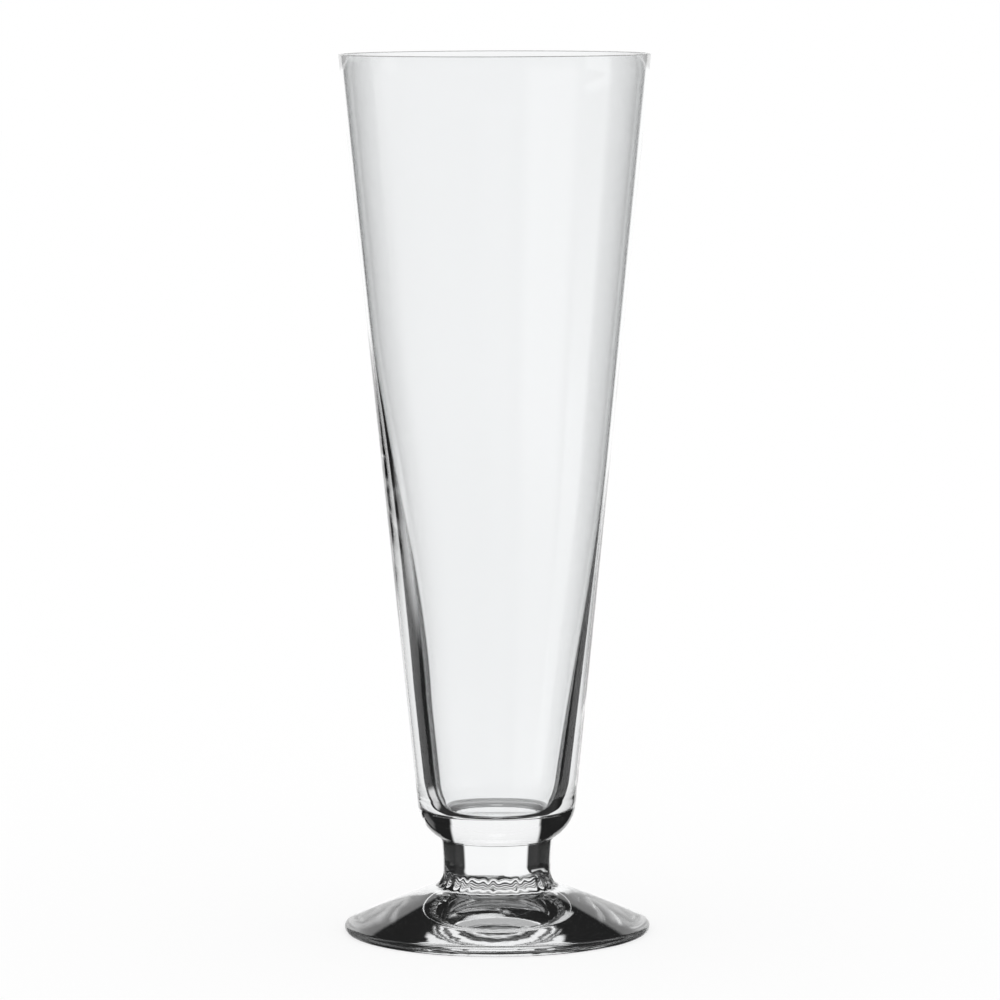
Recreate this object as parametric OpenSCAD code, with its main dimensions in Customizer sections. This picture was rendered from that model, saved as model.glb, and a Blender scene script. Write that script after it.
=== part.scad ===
// Footed pilsner glass: a tall straight-sided conical bowl with a heavy base,
// a short waisted stem and a coned disc foot, fused together on two flat seams.
// Z is the axis of the glass, and the origin is the middle of the face it stands on.
// Every piece is a solid of revolution, drawn as a half outline of [radius, height].

/* [Bowl] */
// Height of the bowl, from the seat that is fused to the stem up to the lip
bowl_h = 201.2; // [170:0.2:230]
// Outer diameter at the lip
rim_d = 79.4; // [70:0.2:90]
// Outer diameter where the straight side starts, on top of the shoulder
shoulder_d = 40.4; // [36:0.2:46]
// Height of the shoulder, from the seat up to the start of the straight side
shoulder_h = 8.2; // [6:0.1:11]
// How far the shoulder swells out past a straight line
shoulder_bulge = 1.1; // [0.4:0.1:2]
// Diameter of the seat that is fused to the stem
seat_d = 29.2; // [26:0.1:33]

/* [Bowl walls] */
// Wall at the lip and down the upper part of the bowl
rim_wall = 1.1; // [0.9:0.1:2]
// Height of the rounding over the lip
lip_rise = 0.3; // [0.1:0.1:0.5]
// Wall beside the floor of the cavity
base_wall = 5; // [3:0.1:6]
// Height above the seat from which the wall thickens downwards
thin_from_h = 120; // [90:1:150]
// Height above the seat at which it has its full thickness
thick_to_h = 28; // [20:1:60]
// Solid glass between the seat and the edge of the cavity's floor
floor_t = 7.5; // [6:0.1:12]
// How far the middle of the floor dips below its edge
floor_dish = 0.2; // [0.1:0.1:1.5]
// Width of the rounding where the floor turns up into the wall
floor_corner = 2.5; // [1:0.1:4]
// Height of that rounding
floor_corner_h = 9; // [3:0.1:12]

/* [Stem] */
// Height of the stem between its two seams
stem_h = 12.6; // [9:0.1:20]
// Diameter of the stem at its narrowest
waist_d = 27.5; // [22:0.1:28.5]
// Height of the narrowest place above the foot
waist_h = 4.4; // [3:0.1:7]
// How far each seam's wider piece stands out past the stem, on the radius
seam_step = 0.1; // [0.1:0.1:0.6]

/* [Foot] */
// Diameter of the foot
foot_d = 78.6; // [70:0.2:86]
// Height of the foot, from the table up to the stem's seam
foot_h = 11.2; // [9:0.1:14]
// Diameter of the flat top of the foot that the stem is fused to
foot_seat_d = 34; // [31:0.2:40]
// Height of the rounded edge of the foot
foot_edge = 2.4; // [1.8:0.1:4]
// How far the top of the foot swells up past a straight cone
foot_bulge = 0.2; // [0.1:0.1:0.8]
// Width of the flat ring that the glass stands on
ring_w = 2; // [1:0.1:4]
// How far the middle of the underside is pressed up
foot_hollow = 3; // [1:0.1:5]

/* [Hidden] */
// Names of the separate pieces
// Piece to draw
// Sides of a full turn in the preview mesh
$fn = 160;
// Straight runs that an arc or a bend is drawn with
arc_steps = 12;
// Straight runs that the thickening stretch of the wall is drawn with
wall_steps = 20;
// Height of the flare's control point, as a share of the waist's height
flare_share = 0.08;
// Two points closer than this count as one
same_point = 0.001;
// Colour of clear glass with a faint cool tint
glass_colour = [0.86, 0.91, 0.91, 0.45];

// Radii, taken from the diameters
rim_r = rim_d / 2;
shoulder_r = shoulder_d / 2;
seat_r = seat_d / 2;
waist_r = waist_d / 2;
foot_r = foot_d / 2;
foot_seat_r = foot_seat_d / 2;
// The lip is rounded over the whole of the thin wall
lip_r = rim_wall / 2;
lip_h = bowl_h - lip_rise;
// Ends of the stem, set back from the wider pieces that they are fused to
stem_top_r = seat_r - seam_step;
stem_base_r = foot_seat_r - seam_step;
// The edge of the foot is a half round, and the standing ring lies inside it
edge_r = foot_edge / 2;
ring_out_r = foot_r - edge_r;
ring_in_r = ring_out_r - ring_w;
// Fall of the foot's top for each unit of radius
foot_fall = (foot_h - foot_edge) / (ring_out_r - foot_seat_r);
// Height of the stem's upper seam above the table
bowl_z = foot_h + stem_h;

// Point on a straight line from a to b
function between(a, b, t) = a + (b - a) * t;

// Smooth step from 0 to 1
function eased(t) = t * t * (3 - 2 * t);

// Smooth bend from a to b that is pulled towards a corner
function bend(a, corner, b, steps = arc_steps) =
    [for (i = [0:steps])
        let (t = i / steps)
        between(between(a, corner, t), between(corner, b, t), t)];

// Circular arc from a to b that stands out to the right of the way from a to b
function bulge(a, b, rise, steps = arc_steps) =
    let (chord = norm(b - a),
         along = (b - a) / chord,
         out = [along[1], -along[0]],
         radius = (chord * chord / 4 + rise * rise) / (2 * rise),
         centre = (a + b) / 2 - out * (radius - rise),
         half = asin(chord / (2 * radius)))
    [for (i = [0:steps])
        let (turn = between(-half, half, i / steps))
        centre + radius * (out * cos(turn) + along * sin(turn))];

// Outer radius of the straight side at a height above the seat
function side_r(h) = between(shoulder_r, rim_r, (h - shoulder_h) / (lip_h - shoulder_h));

// Wall at a height above the seat: thin in the upper part, easing into the thick wall below
function wall_at(h) =
    let (down = min(max((thin_from_h - h) / (thin_from_h - thick_to_h), 0), 1))
    between(rim_wall, base_wall, eased(down));

// Radius of the cavity at a height above the seat
function cavity_r(h) = side_r(h) - wall_at(h);

// Rounded lip, from the outer side over the top to the inner side
function lip() =
    [for (i = [0:arc_steps])
        let (turn = 180 * i / arc_steps)
        [rim_r - lip_r + lip_r * cos(turn), lip_h + lip_rise * sin(turn)]];

// Inner side of the thickening wall, from the thin stretch down to the thick one
function thick_wall() =
    let (low = max(thick_to_h, floor_t + floor_corner_h))
    [for (i = [0:wall_steps])
        let (h = between(thin_from_h, low, i / wall_steps))
        [cavity_r(h), h]];

// Floor of the cavity: a rounded corner, then a shallow dish down to the axis
function cavity_floor() =
    let (corner = [cavity_r(floor_t), floor_t],
         wall_end = [cavity_r(floor_t + floor_corner_h), floor_t + floor_corner_h],
         floor_end = corner - [floor_corner, 0])
    concat(
        bend(wall_end, corner, floor_end),
        [for (i = [1:arc_steps])
            let (share = 1 - i / arc_steps)
            [floor_end[0] * share, floor_t - floor_dish * (1 - share * share)]]);

// Underside of the foot, from the axis down and out to the standing ring
function underside() =
    [for (i = [0:arc_steps])
        let (share = i / arc_steps)
        [ring_in_r * share, foot_hollow * (1 - share * share)]];

// Closed outline from runs of points, without the points where two runs meet twice
function outline(runs) =
    let (points = [for (run = runs) each run])
    [for (i = [0:len(points) - 1])
        if (i == 0 || norm(points[i] - points[i - 1]) > same_point) points[i]];

module bowl() {
    color(glass_colour)
        translate([0, 0, bowl_z])
            rotate_extrude()
                polygon(outline([
                    [[0, 0]],
                    bulge([seat_r, 0], [shoulder_r, shoulder_h], shoulder_bulge),
                    lip(),
                    thick_wall(),
                    cavity_floor()]));
}

module stem() {
    middle_h = (waist_h + stem_h) / 2;
    color(glass_colour)
        translate([0, 0, foot_h])
            rotate_extrude()
                polygon(outline([
                    [[0, 0]],
                    bend([stem_base_r, 0], [waist_r, waist_h * flare_share], [waist_r, waist_h]),
                    bend([waist_r, waist_h], [waist_r, middle_h], [stem_top_r, stem_h]),
                    [[0, stem_h]]]));
}

module foot() {
    edge_top = [ring_out_r, foot_edge];
    edge_side = [foot_r, edge_r];
    color(glass_colour)
        rotate_extrude()
            polygon(outline([
                bend([ring_out_r, 0], [foot_r, 0], edge_side),
                bend(edge_side, [foot_r, foot_edge - edge_r * foot_fall], edge_top),
                bulge(edge_top, [foot_seat_r, foot_h], foot_bulge),
                [[0, foot_h]],
                underside()]));
}

bowl();
stem();
foot();
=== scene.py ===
# Clear footed pilsner glass on a white ground. It is lit the way clear glass is photographed:
# a white window behind it, and dark sides that its thick places draw as dark edges.
# Lengths are in metres. The three glass pieces are fine lathed meshes on the frame's own sizes.

import math

import bmesh
import bpy
from mathutils import Matrix, Vector


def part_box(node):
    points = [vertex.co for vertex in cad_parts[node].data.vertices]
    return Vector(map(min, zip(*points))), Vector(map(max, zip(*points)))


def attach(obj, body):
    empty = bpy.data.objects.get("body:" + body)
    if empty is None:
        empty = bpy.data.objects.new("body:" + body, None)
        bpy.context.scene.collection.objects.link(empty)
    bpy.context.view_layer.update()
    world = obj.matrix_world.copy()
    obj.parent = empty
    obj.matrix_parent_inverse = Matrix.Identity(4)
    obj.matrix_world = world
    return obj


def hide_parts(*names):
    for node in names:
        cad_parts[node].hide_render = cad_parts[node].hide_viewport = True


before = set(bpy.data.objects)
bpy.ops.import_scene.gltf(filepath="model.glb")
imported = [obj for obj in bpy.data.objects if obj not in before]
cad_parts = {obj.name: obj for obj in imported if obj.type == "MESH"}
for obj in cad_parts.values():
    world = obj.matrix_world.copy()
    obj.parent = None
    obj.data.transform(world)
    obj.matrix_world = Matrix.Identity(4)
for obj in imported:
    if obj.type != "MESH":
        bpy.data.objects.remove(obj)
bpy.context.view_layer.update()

MM = 0.001

# Camera, fitted to the lip's and the foot's ellipses
FOCAL_SHARE = 5.3244  # focal length as a share of the picture's width
SENSOR_MM = 36.0
CAMERA_DISTANCE = 1.3543
CAMERA_HEIGHT = 0.2510
CAMERA_DOWN = math.radians(5.8935)
CAMERA_TURN = math.radians(-0.044)
CAMERA_ROLL = math.radians(-0.16)

# Mesh fineness
TURN_STEPS = 320  # sides of a full turn
ARC_STEPS = 16  # runs in an arc or a bend
WALL_STEPS = 48  # runs down a straight or a thickening wall
SHARP_ANGLE = math.radians(28)  # an edge that turns further than this stays sharp
SAME_POINT = 0.001 * MM  # two points closer than this count as one

# Bowl, with heights above its seat on the stem
SHOULDER_R = 20.2 * MM  # where the straight side starts
SHOULDER_H = 8.2 * MM
SHOULDER_BULGE = 1.1 * MM  # how far the shoulder swells out past a straight line
SEAT_R = 14.6 * MM
SEAT_EDGE = 0.4 * MM  # rounding of the seat's edge, which shows as the upper seam's fine line
RIM_WALL = 1.1 * MM
LIP_RISE = 0.3 * MM  # height of the rounding over the lip
BASE_WALL = 5 * MM  # wall beside the cavity's floor
THIN_FROM_H = 120 * MM  # the wall thickens downwards from here
THICK_TO_H = 28 * MM  # and has its full thickness here
FLOOR_T = 7.5 * MM  # solid glass under the edge of the cavity's floor
FLOOR_DISH = 0.2 * MM  # how far the middle of the floor dips
FLOOR_CORNER = 2.5 * MM  # width of the rounding where the floor turns up into the wall
FLOOR_CORNER_H = 9 * MM  # height of that rounding

# The wall is uneven: its thick part reaches higher on the left and lower on the right
WALL_LEAN = 16 * MM  # how far it rises and falls round the glass
WALL_LEAN_TURN = math.pi  # where it reaches highest
WALL_DROP = 4 * MM  # how much lower it lies all round

# Stem, with heights above its seat on the foot
WAIST_R = 13.75 * MM
WAIST_H = 4.4 * MM
SEAM_STEP = 0.1 * MM  # how far its lower end is set back from the edge of the foot's seat
FLARE_SHARE = 0.08  # height of the flare's control point, as a share of the waist's height

# Faint ripples round the flare, left by the seam: (lobes in a turn, height of a lobe, phase)
RIPPLES = [(31, 0.22 * MM, 0.4), (43, 0.08 * MM, 1.9), (17, 0.08 * MM, 2.6)]
RIPPLE_FROM = 0.2 * MM
RIPPLE_FULL = 1.6 * MM
RIPPLE_TO = 4.2 * MM

# Foot
FOOT_SEAT_R = 17 * MM
FOOT_EDGE = 2.4 * MM  # height of its rounded edge
FOOT_BULGE = 0.2 * MM  # how far its top swells up past a straight cone
RING_W = 2 * MM  # width of the flat ring that the glass stands on
FOOT_HOLLOW = 3 * MM  # how far the middle of the underside is pressed up

# Glass, each colour as one surface lets it through
GLASS_IOR = 1.52
GLASS_COLOUR = (0.988, 0.995, 0.999, 1)
# Painted edge shade: the glass's own faint tint is coloured a little darker where it is seen
# edge on
GLASS_EDGE_SHADE_COLOUR = (0.98, 0.988, 0.99, 1)
EDGE_BLEND = 0.3  # how far the edge's colour reaches over the surface
NOISE_DETAIL = 1.0
HAZE_SIZE = 12 * MM

# Size and depth of the surface's waves, and its least and most haze
POLISHED = (14 * MM, 0.01 * MM, 0.01, 0.03)
PRESSED = (3 * MM, 0.012 * MM, 0.02, 0.05)

# Painted glow near the lip, given off by the glass itself: a ray that was turned this often in
# the thin wall there meets an even glow, where it would otherwise run out of turns and end
# black
GLOW_DEPTH = 14
HALF_STEP = 0.5  # a whole number this close to that one is the same
GLOW_FROM_Z = 205 * MM
PAINTED_GLOW_STRENGTH = 0.6

# Most times that a ray is mirrored or let through
BOUNCES = 32

# Places of the other two materials in a piece's list, after the polished glass
FUSED_SLOT = 1
PRESSED_SLOT = 2

# Studio seen by the glass. An angle across is measured from straight behind the glass, to the
# right, and an angle up from the horizon, both in degrees.
# Each window is (middle, half width, low, high, soft edge, light).
ROOM_LIGHT = 0.015
WINDOWS = {
    "behind": (1, 26, -34, 31, 3, 1.0),
    "behind_low": (1, 26, -46, -30, 4, 0.5),
    "above": (0, 200, 76, 100, 3, 1.0),
    "below": (0, 200, -100, -84, 3, 0.9),
    "walls": (180, 100, -24, 14, 14, 0.35),
    "left": (-90, 14, -10, 6, 8, 0.85),
    "left_low": (-43, 10, -32, -18, 5, 0.7),
    "front_right_low": (135, 24, -24, -6, 20, 0.75),
}
WHITE = (1, 1, 1, 1)

# Floor
FLOOR_HALF = 6.0  # half the side of its square
FLOOR_GLOW = 0.75  # share of its white that no shadow darkens
FLOOR_DROP = 0.02 * MM  # how far it lies under the standing ring

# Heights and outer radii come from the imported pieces
foot_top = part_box("foot")[1].z
stem_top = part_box("stem")[1].z
lip_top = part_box("bowl")[1].z
rim_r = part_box("bowl")[1].x
foot_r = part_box("foot")[1].x
lip_h = lip_top - stem_top - LIP_RISE
ring_in_r = foot_r - FOOT_EDGE / 2 - RING_W


def between(a, b, share):
    """Point on the straight line from a to b."""
    return a + (b - a) * share


def shares(steps):
    """Even shares from 0 to 1."""
    return [step / steps for step in range(steps + 1)]


def bend(a, corner, b):
    """Smooth bend from a to b, pulled towards a corner."""
    return [
        between(between(a, corner, t), between(corner, b, t), t) for t in shares(ARC_STEPS)
    ]


def bulge(a, b, rise):
    """Circular arc from a to b that stands out to the right of the way from a to b."""
    chord = (b - a).length
    along = (b - a) / chord
    out = Vector((along.y, -along.x))
    radius = (chord * chord / 4 + rise * rise) / (2 * rise)
    centre = (a + b) / 2 - out * (radius - rise)
    half = math.asin(chord / (2 * radius))
    turns = [between(-half, half, t) for t in shares(ARC_STEPS)]
    return [centre + radius * (out * math.cos(u) + along * math.sin(u)) for u in turns]


def joined(runs):
    """One outline from runs of points, without the points where two runs meet twice."""
    points = []
    for point in [point for run in runs for point in run]:
        if not points or (point - points[-1]).length > SAME_POINT:
            points.append(point)
    return points


def raised(outline, height):
    """The outline, moved up."""
    return [point + Vector((0, height)) for point in outline]


def side_r(h):
    """Outer radius of the bowl's straight side at a height above its seat."""
    return between(SHOULDER_R, rim_r, (h - SHOULDER_H) / (lip_h - SHOULDER_H))


def wall_at(h):
    """Wall at a height above the seat: thin in the upper part, easing into the thick wall."""
    down = min(max((THIN_FROM_H - h) / (THIN_FROM_H - THICK_TO_H), 0), 1)
    return between(RIM_WALL, BASE_WALL, down * down * (3 - 2 * down))


def bowl_outline():
    """Half outline of the bowl, up its outer side, over the lip and down into the cavity."""
    lip_r = RIM_WALL / 2

    def inner(h):
        return Vector((side_r(h) - wall_at(h), h))

    def outer(h):
        return Vector((side_r(h), h))

    def lip(turn):
        radius = rim_r - lip_r + lip_r * math.cos(turn)
        return Vector((radius, lip_h + LIP_RISE * math.sin(turn)))

    wall_end = inner(FLOOR_T + FLOOR_CORNER_H)
    corner = inner(FLOOR_T)
    floor_end = corner - Vector((FLOOR_CORNER, 0))
    seat_edge = Vector((SEAT_R, SEAT_EDGE))

    def dish(share):
        return Vector((floor_end.x * share, FLOOR_T - FLOOR_DISH * (1 - share * share)))

    runs = [
        [Vector((0, 0))],
        bend(Vector((SEAT_R - SEAT_EDGE, 0)), Vector((SEAT_R, 0)), seat_edge),
        bulge(seat_edge, Vector((SHOULDER_R, SHOULDER_H)), SHOULDER_BULGE),
        [outer(between(SHOULDER_H, lip_h, t)) for t in shares(WALL_STEPS)],
        [lip(math.pi * t) for t in shares(ARC_STEPS)],
        [inner(between(lip_h, THIN_FROM_H, t)) for t in shares(ARC_STEPS)],
        [inner(between(THIN_FROM_H, THICK_TO_H, t)) for t in shares(WALL_STEPS)],
        bend(wall_end, corner, floor_end),
        [dish(1 - t) for t in shares(ARC_STEPS)],
    ]
    return raised(joined(runs), stem_top)


def stem_outline():
    """Half outline of the stem, from its lower seam up to its upper one."""
    height = stem_top - foot_top
    middle_h = (WAIST_H + height) / 2
    base = Vector((FOOT_SEAT_R - SEAM_STEP, 0))
    waist = Vector((WAIST_R, WAIST_H))
    top = Vector((SEAT_R - SEAT_EDGE, height))
    runs = [
        [Vector((0, 0))],
        bend(base, Vector((WAIST_R, WAIST_H * FLARE_SHARE)), waist),
        bend(waist, Vector((WAIST_R, middle_h)), top),
        [Vector((0, height))],
    ]
    return raised(joined(runs), foot_top)


def hollow_z(radius):
    """Height of the foot's hollow underside above the table."""
    return FOOT_HOLLOW * (1 - (radius / ring_in_r) ** 2)


def foot_outline():
    """Half outline of the foot, from the middle of its hollow round its edge to its seat."""
    edge_r = FOOT_EDGE / 2
    ring_out_r = foot_r - edge_r
    fall = (foot_top - FOOT_EDGE) / (ring_out_r - FOOT_SEAT_R)
    edge_side = Vector((foot_r, edge_r))
    edge_top = Vector((ring_out_r, FOOT_EDGE))
    runs = [
        [Vector((ring_in_r * t, hollow_z(ring_in_r * t))) for t in shares(ARC_STEPS)],
        bend(Vector((ring_out_r, 0)), Vector((foot_r, 0)), edge_side),
        bend(edge_side, Vector((foot_r, FOOT_EDGE - edge_r * fall)), edge_top),
        bulge(edge_top, Vector((FOOT_SEAT_R, foot_top)), FOOT_BULGE),
        [Vector((FOOT_SEAT_R - SEAM_STEP, foot_top)), Vector((0, foot_top))],
    ]
    return joined(runs)


def even(turn, radius, height):
    """No shift: a surface that is the same all round."""
    return 0.0


def wall_lean(turn, radius, height):
    """How far the bowl's inner side moves in or out where its wall is thicker or thinner."""
    h = height - stem_top
    if h < FLOOR_T or radius > side_r(h) - RIM_WALL / 2:
        return 0.0
    down = WALL_DROP - WALL_LEAN * math.cos(turn - WALL_LEAN_TURN)
    return wall_at(h) - wall_at(h + down)


def stem_ripple(turn, radius, height):
    """How far the stem's flare stands out or in, just above its lower seam."""
    up = height - foot_top
    rising = min(max((up - RIPPLE_FROM) / (RIPPLE_FULL - RIPPLE_FROM), 0), 1)
    falling = min(max((RIPPLE_TO - up) / (RIPPLE_TO - RIPPLE_FULL), 0), 1)
    waves = sum(size * math.cos(lobes * turn + phase) for lobes, size, phase in RIPPLES)
    return rising * falling * waves


def add_ring(build, point, shift):
    """Vertices of one turn of an outline's point, or its single vertex on the axis."""
    radius, height = point
    if radius < SAME_POINT:
        return [build.verts.new((0, 0, height))]
    ring = []
    for step in range(TURN_STEPS):
        turn = math.tau * step / TURN_STEPS
        reach = radius + shift(turn, radius, height)
        ring.append(build.verts.new((reach * math.cos(turn), reach * math.sin(turn), height)))
    return ring


def join_rings(build, low, high):
    """Faces between two rings, as quads, or as triangles where one ring is a single vertex."""
    for step in range(TURN_STEPS):
        after = (step + 1) % TURN_STEPS
        if len(low) == 1:
            build.faces.new((low[0], high[after], high[step]))
        elif len(high) == 1:
            build.faces.new((low[step], low[after], high[0]))
        else:
            build.faces.new((low[step], low[after], high[after], high[step]))


def is_fused(face, seam):
    """True if a face lies in the disc of that radius at that height."""
    radius, height = seam
    return all(
        abs(vert.co.z - height) < SAME_POINT and vert.co.xy.length < radius + SAME_POINT
        for vert in face.verts
    )


def is_pressed(face):
    """True on the foot's hollow underside and on the stem's flare above the lower seam."""
    for vert in face.verts:
        radius = vert.co.xy.length
        in_hollow = vert.co.z < hollow_z(radius) + SAME_POINT
        in_flare = foot_top < vert.co.z < foot_top + RIPPLE_TO and radius < FOOT_SEAT_R
        if not (in_hollow or in_flare):
            return False
    return True


def lathed_glass(name, node, outline, seams, materials, shift=even):
    """A closed glass piece turned from its outline. Each seam is a disc's (radius, height)."""
    build = bmesh.new()
    rings = [add_ring(build, point, shift) for point in outline]
    for low, high in zip(rings, rings[1:]):
        join_rings(build, low, high)
    for face in build.faces:
        face.smooth = True
        if any(is_fused(face, seam) for seam in seams):
            face.material_index = FUSED_SLOT
        elif is_pressed(face):
            face.material_index = PRESSED_SLOT
    bmesh.ops.recalc_face_normals(build, faces=build.faces)
    mesh = bpy.data.meshes.new(name)
    build.to_mesh(mesh)
    build.free()
    mesh.set_sharp_from_angle(angle=SHARP_ANGLE)
    for material in materials:
        mesh.materials.append(material)
    piece = bpy.data.objects.new(name, mesh)
    bpy.context.scene.collection.objects.link(piece)
    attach(piece, "root")
    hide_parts(node)


class Sums:
    """Short calls for the nodes of one tree."""

    def __init__(self, tree):
        self.nodes = tree.nodes
        self.links = tree.links

    def feed(self, socket, value):
        """Links an output to the socket, or sets a plain number on it."""
        if isinstance(value, bpy.types.NodeSocket):
            self.links.new(value, socket)
        else:
            socket.default_value = value

    def run(self, operation, *values):
        """The result of one maths node."""
        node = self.nodes.new("ShaderNodeMath")
        node.operation = operation
        for socket, value in zip(node.inputs, values):
            self.feed(socket, value)
        return node.outputs[0]

    def parts(self, vector):
        """The X, Y and Z of a vector."""
        node = self.nodes.new("ShaderNodeSeparateXYZ")
        self.feed(node.inputs[0], vector)
        return node.outputs

    def rise(self, value, start, stop):
        """0 up to start, 1 from stop, and smooth between them."""
        node = self.nodes.new("ShaderNodeMapRange")
        node.interpolation_type = "SMOOTHSTEP"
        self.feed(node.inputs["Value"], value)
        self.feed(node.inputs["From Min"], start)
        self.feed(node.inputs["From Max"], stop)
        return node.outputs["Result"]

    def inside(self, value, low, high, soft):
        """1 between low and high, falling smoothly to 0 over a soft edge centred on each."""
        half = soft / 2
        rising = self.rise(value, low - half, low + half)
        falling = self.run("SUBTRACT", 1.0, self.rise(value, high - half, high + half))
        return self.run("MULTIPLY", rising, falling)


def new_material(name):
    """An empty node material, the calls for its nodes, and its surface's socket."""
    material = bpy.data.materials.new(name)
    material.use_nodes = True
    tree = material.node_tree
    tree.nodes.clear()
    surface = tree.nodes.new("ShaderNodeOutputMaterial").inputs["Surface"]
    return material, Sums(tree), surface


def noise(sums, place, size):
    """Soft noise from 0 to 1, with lumps of about that size."""
    node = sums.nodes.new("ShaderNodeTexNoise")
    node.inputs["Scale"].default_value = 1 / size
    node.inputs["Detail"].default_value = NOISE_DETAIL
    sums.feed(node.inputs["Vector"], place)
    return node.outputs["Fac"]


def tint_with_painted_edge_shade(sums):
    """Colour of the glass, with painted edge shade that makes it a little darker where it is
    seen edge on.
    """
    edge = sums.nodes.new("ShaderNodeLayerWeight")
    edge.inputs["Blend"].default_value = EDGE_BLEND
    shaded_colour = sums.nodes.new("ShaderNodeMix")
    shaded_colour.data_type = "RGBA"
    sums.feed(shaded_colour.inputs["Factor"], edge.outputs["Facing"])
    shaded_colour.inputs["A"].default_value = GLASS_COLOUR
    shaded_colour.inputs["B"].default_value = GLASS_EDGE_SHADE_COLOUR
    return shaded_colour.outputs["Result"]


def uneven_haze(sums, place, least, most):
    """Roughness that wanders between its least and its most."""
    haze = sums.nodes.new("ShaderNodeMapRange")
    sums.feed(haze.inputs["Value"], noise(sums, place, HAZE_SIZE))
    haze.inputs["To Min"].default_value = least
    haze.inputs["To Max"].default_value = most
    return haze.outputs["Result"]


def faint_waves(sums, place, size, depth):
    """Normal of a surface with faint waves."""
    waves = sums.nodes.new("ShaderNodeBump")
    waves.inputs["Distance"].default_value = depth
    sums.feed(waves.inputs["Height"], noise(sums, place, size))
    return waves.outputs["Normal"]


def painted_lip_glow(sums, place):
    """Painted glow that the glass gives off near the lip, met once by a ray after many turns in
    the thin wall.
    """
    near_lip = sums.run("GREATER_THAN", sums.parts(place)["Z"], GLOW_FROM_Z)
    depth = sums.nodes.new("ShaderNodeLightPath").outputs["Ray Depth"]
    at_glow_depth = sums.run("COMPARE", depth, GLOW_DEPTH, HALF_STEP)
    return sums.run("MULTIPLY", sums.run("MULTIPLY", near_lip, at_glow_depth), PAINTED_GLOW_STRENGTH)


def glass_surface(name, wave_size, wave_depth, least_haze, most_haze):
    """Clear glass: faint waves, a trace of haze, painted shade a little darker edge on, painted
    lip glow.
    """
    material, sums, surface = new_material(name)
    place = sums.nodes.new("ShaderNodeTexCoord").outputs["Object"]
    shader = sums.nodes.new("ShaderNodeBsdfPrincipled")
    shader.inputs["IOR"].default_value = GLASS_IOR
    shader.inputs["Transmission Weight"].default_value = 1.0
    # Painted edge shade in the base colour
    sums.feed(shader.inputs["Base Color"], tint_with_painted_edge_shade(sums))
    sums.feed(shader.inputs["Roughness"], uneven_haze(sums, place, least_haze, most_haze))
    sums.feed(shader.inputs["Normal"], faint_waves(sums, place, wave_size, wave_depth))
    # Painted glow near the lip, given off as emission by the glass
    sums.feed(shader.inputs["Emission Strength"], painted_lip_glow(sums, place))
    sums.feed(surface, shader.outputs[0])
    return material


def fused_seam():
    """The disc where two pieces are fused into one glass, which nothing shows."""
    material, sums, surface = new_material("fused_seam")
    sums.feed(surface, sums.nodes.new("ShaderNodeBsdfTransparent").outputs[0])
    return material


def angle_across(sums, direction, middle):
    """Angle from a middle direction to the ray's, round the vertical, in degrees."""
    turn = sums.nodes.new("ShaderNodeVectorRotate")
    turn.rotation_type = "Z_AXIS"
    turn.inputs["Angle"].default_value = math.radians(middle)
    sums.feed(turn.inputs["Vector"], direction)
    parts = sums.parts(turn.outputs[0])
    return sums.run("DEGREES", sums.run("ARCTAN2", parts["X"], parts["Y"]))


def studio_pattern(sums, direction):
    """Light of the windows and the room in a direction."""
    up = sums.run("DEGREES", sums.run("ARCSINE", sums.parts(direction)["Z"]))
    light = ROOM_LIGHT
    for middle, half_width, low, high, soft, strength in WINDOWS.values():
        across = angle_across(sums, direction, middle)
        shape = sums.run(
            "MULTIPLY",
            sums.inside(across, -half_width, half_width, soft),
            sums.inside(up, low, high, soft),
        )
        light = sums.run("MAXIMUM", light, sums.run("MULTIPLY", shape, strength))
    return light


def seen_by_glass(sums):
    """1 for a ray that comes from glass, mirrored or let through."""
    path = sums.nodes.new("ShaderNodeLightPath").outputs
    return sums.run("MAXIMUM", path["Is Glossy Ray"], path["Is Transmission Ray"])


def make_world():
    """White for the camera and as plain soft light. Glass sees the windows and dark room."""
    world = bpy.data.worlds.new("studio")
    world.use_nodes = True
    world.node_tree.nodes.clear()
    sums = Sums(world.node_tree)
    direction = sums.nodes.new("ShaderNodeTexCoord").outputs["Generated"]
    strength = sums.nodes.new("ShaderNodeMix")
    sums.feed(strength.inputs["Factor"], seen_by_glass(sums))
    sums.feed(strength.inputs["A"], 1.0)
    sums.feed(strength.inputs["B"], studio_pattern(sums, direction))
    light = sums.nodes.new("ShaderNodeBackground")
    light.inputs["Color"].default_value = WHITE
    sums.feed(light.inputs["Strength"], strength.outputs["Result"])
    output = sums.nodes.new("ShaderNodeOutputWorld")
    sums.feed(output.inputs["Surface"], light.outputs[0])
    bpy.context.scene.world = world


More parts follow.
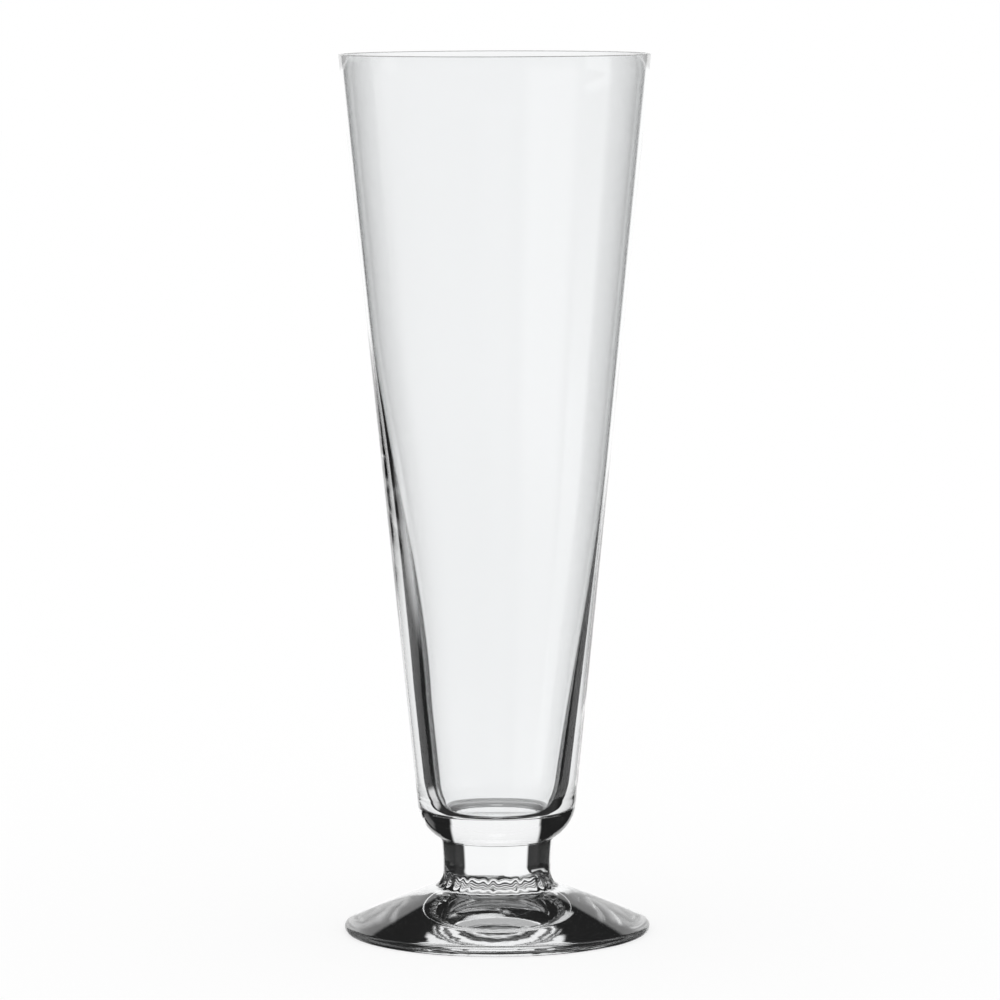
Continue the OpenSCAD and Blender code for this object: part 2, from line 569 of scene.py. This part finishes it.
def floor_material():
    """Pale floor that keeps a faint shadow. Glass sees through it to the studio's pattern."""
    material, sums, surface = new_material("pale_floor")
    paint = sums.nodes.new("ShaderNodeBsdfDiffuse")
    paint.inputs["Color"].default_value = (1 - FLOOR_GLOW, 1 - FLOOR_GLOW, 1 - FLOOR_GLOW, 1)
    glow = sums.nodes.new("ShaderNodeEmission")
    by_camera = sums.nodes.new("ShaderNodeLightPath").outputs["Is Camera Ray"]
    sums.feed(glow.inputs["Strength"], sums.run("MULTIPLY", by_camera, FLOOR_GLOW))
    both = sums.nodes.new("ShaderNodeAddShader")
    sums.feed(both.inputs[0], paint.outputs[0])
    sums.feed(both.inputs[1], glow.outputs[0])
    clear = sums.nodes.new("ShaderNodeBsdfTransparent")
    choice = sums.nodes.new("ShaderNodeMixShader")
    sums.feed(choice.inputs["Fac"], seen_by_glass(sums))
    sums.feed(choice.inputs[1], both.outputs[0])
    sums.feed(choice.inputs[2], clear.outputs[0])
    sums.feed(surface, choice.outputs[0])
    return material


def make_floor():
    """One large square just under the standing ring."""
    corners = [(-1, -1), (1, -1), (1, 1), (-1, 1)]
    mesh = bpy.data.meshes.new("floor")
    verts = [(x * FLOOR_HALF, y * FLOOR_HALF, -FLOOR_DROP) for x, y in corners]
    mesh.from_pydata(verts, [], [(0, 1, 2, 3)])
    mesh.materials.append(floor_material())
    floor = bpy.data.objects.new("floor", mesh)
    bpy.context.scene.collection.objects.link(floor)


def make_camera():
    """Camera at the photograph's viewing angle."""
    data = bpy.data.cameras.new("camera")
    data.sensor_width = SENSOR_MM
    data.lens = FOCAL_SHARE * SENSOR_MM
    camera = bpy.data.objects.new("camera", data)
    camera.matrix_world = (
        Matrix.Translation((0, -CAMERA_DISTANCE, CAMERA_HEIGHT))
        @ Matrix.Rotation(CAMERA_TURN, 4, "Z")
        @ Matrix.Rotation(math.pi / 2 - CAMERA_DOWN, 4, "X")
        @ Matrix.Rotation(CAMERA_ROLL, 4, "Z")
    )
    bpy.context.scene.collection.objects.link(camera)
    bpy.context.scene.camera = camera


def set_render_look():
    """Plain colours, and enough bounces for light to cross all the glass."""
    scene = bpy.context.scene
    scene.view_settings.view_transform = "Standard"
    scene.cycles.max_bounces = BOUNCES
    scene.cycles.transmission_bounces = BOUNCES
    scene.cycles.glossy_bounces = BOUNCES
    scene.cycles.transparent_max_bounces = BOUNCES


def make_glass():
    """The three pieces, fused on two seams."""
    materials = [
        glass_surface("clear_glass", *POLISHED),
        fused_seam(),
        glass_surface("pressed_glass", *PRESSED),
    ]
    low_seam = (FOOT_SEAT_R - SEAM_STEP, foot_top)
    high_seam = (SEAT_R - SEAT_EDGE, stem_top)
    lathed_glass("bowl_glass", "bowl", bowl_outline(), [high_seam], materials, wall_lean)
    lathed_glass(
        "stem_glass", "stem", stem_outline(), [low_seam, high_seam], materials, stem_ripple
    )
    lathed_glass("foot_glass", "foot", foot_outline(), [low_seam], materials)


make_camera()
set_render_look()
make_glass()
make_floor()
make_world()
